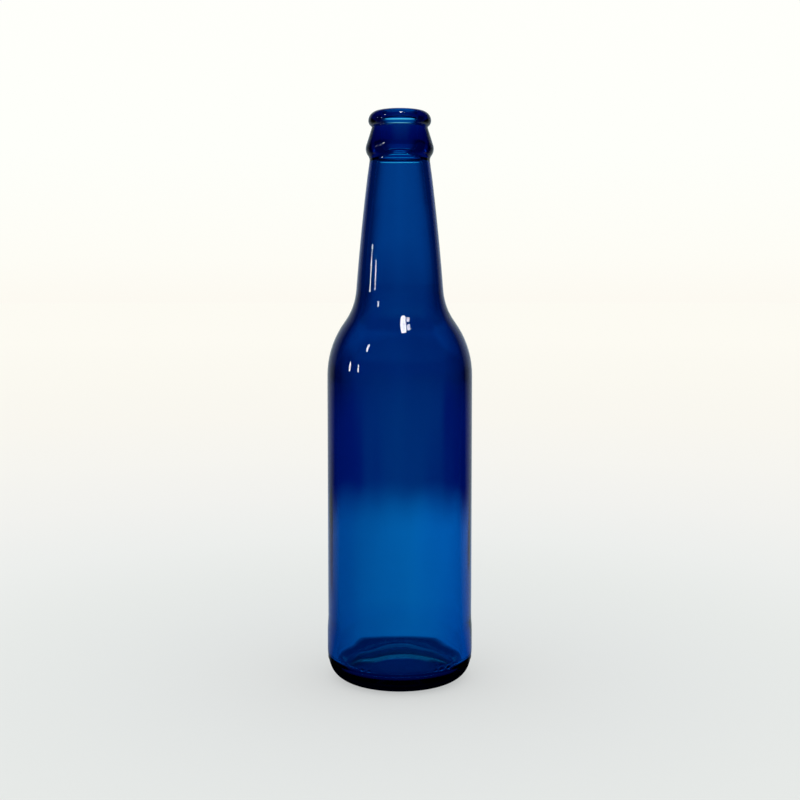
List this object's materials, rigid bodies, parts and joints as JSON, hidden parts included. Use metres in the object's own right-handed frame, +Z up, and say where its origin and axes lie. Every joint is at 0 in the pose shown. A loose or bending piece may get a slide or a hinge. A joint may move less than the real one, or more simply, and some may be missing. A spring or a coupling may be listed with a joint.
{
  "type": "longneck beer bottle",
  "caption": "Empty longneck beer bottle in clear cobalt-blue glass, with a round shoulder, a long slightly barrelled neck, and an open mouth with a crown finish.",
  "frame": {"origin": "middle of the ring that the bottle stands on, at table height", "axes": "+Z up the bottle's axis towards the mouth; the bottle is round, so X and Y are alike"},
  "size_m": [0.0616, 0.0616, 0.2386],
  "materials": {
    "cobalt_glass": "gloss"
  },
  "bodies": {
    "root": {"bottle": "cobalt_glass"}
  },
  "joints": []
}
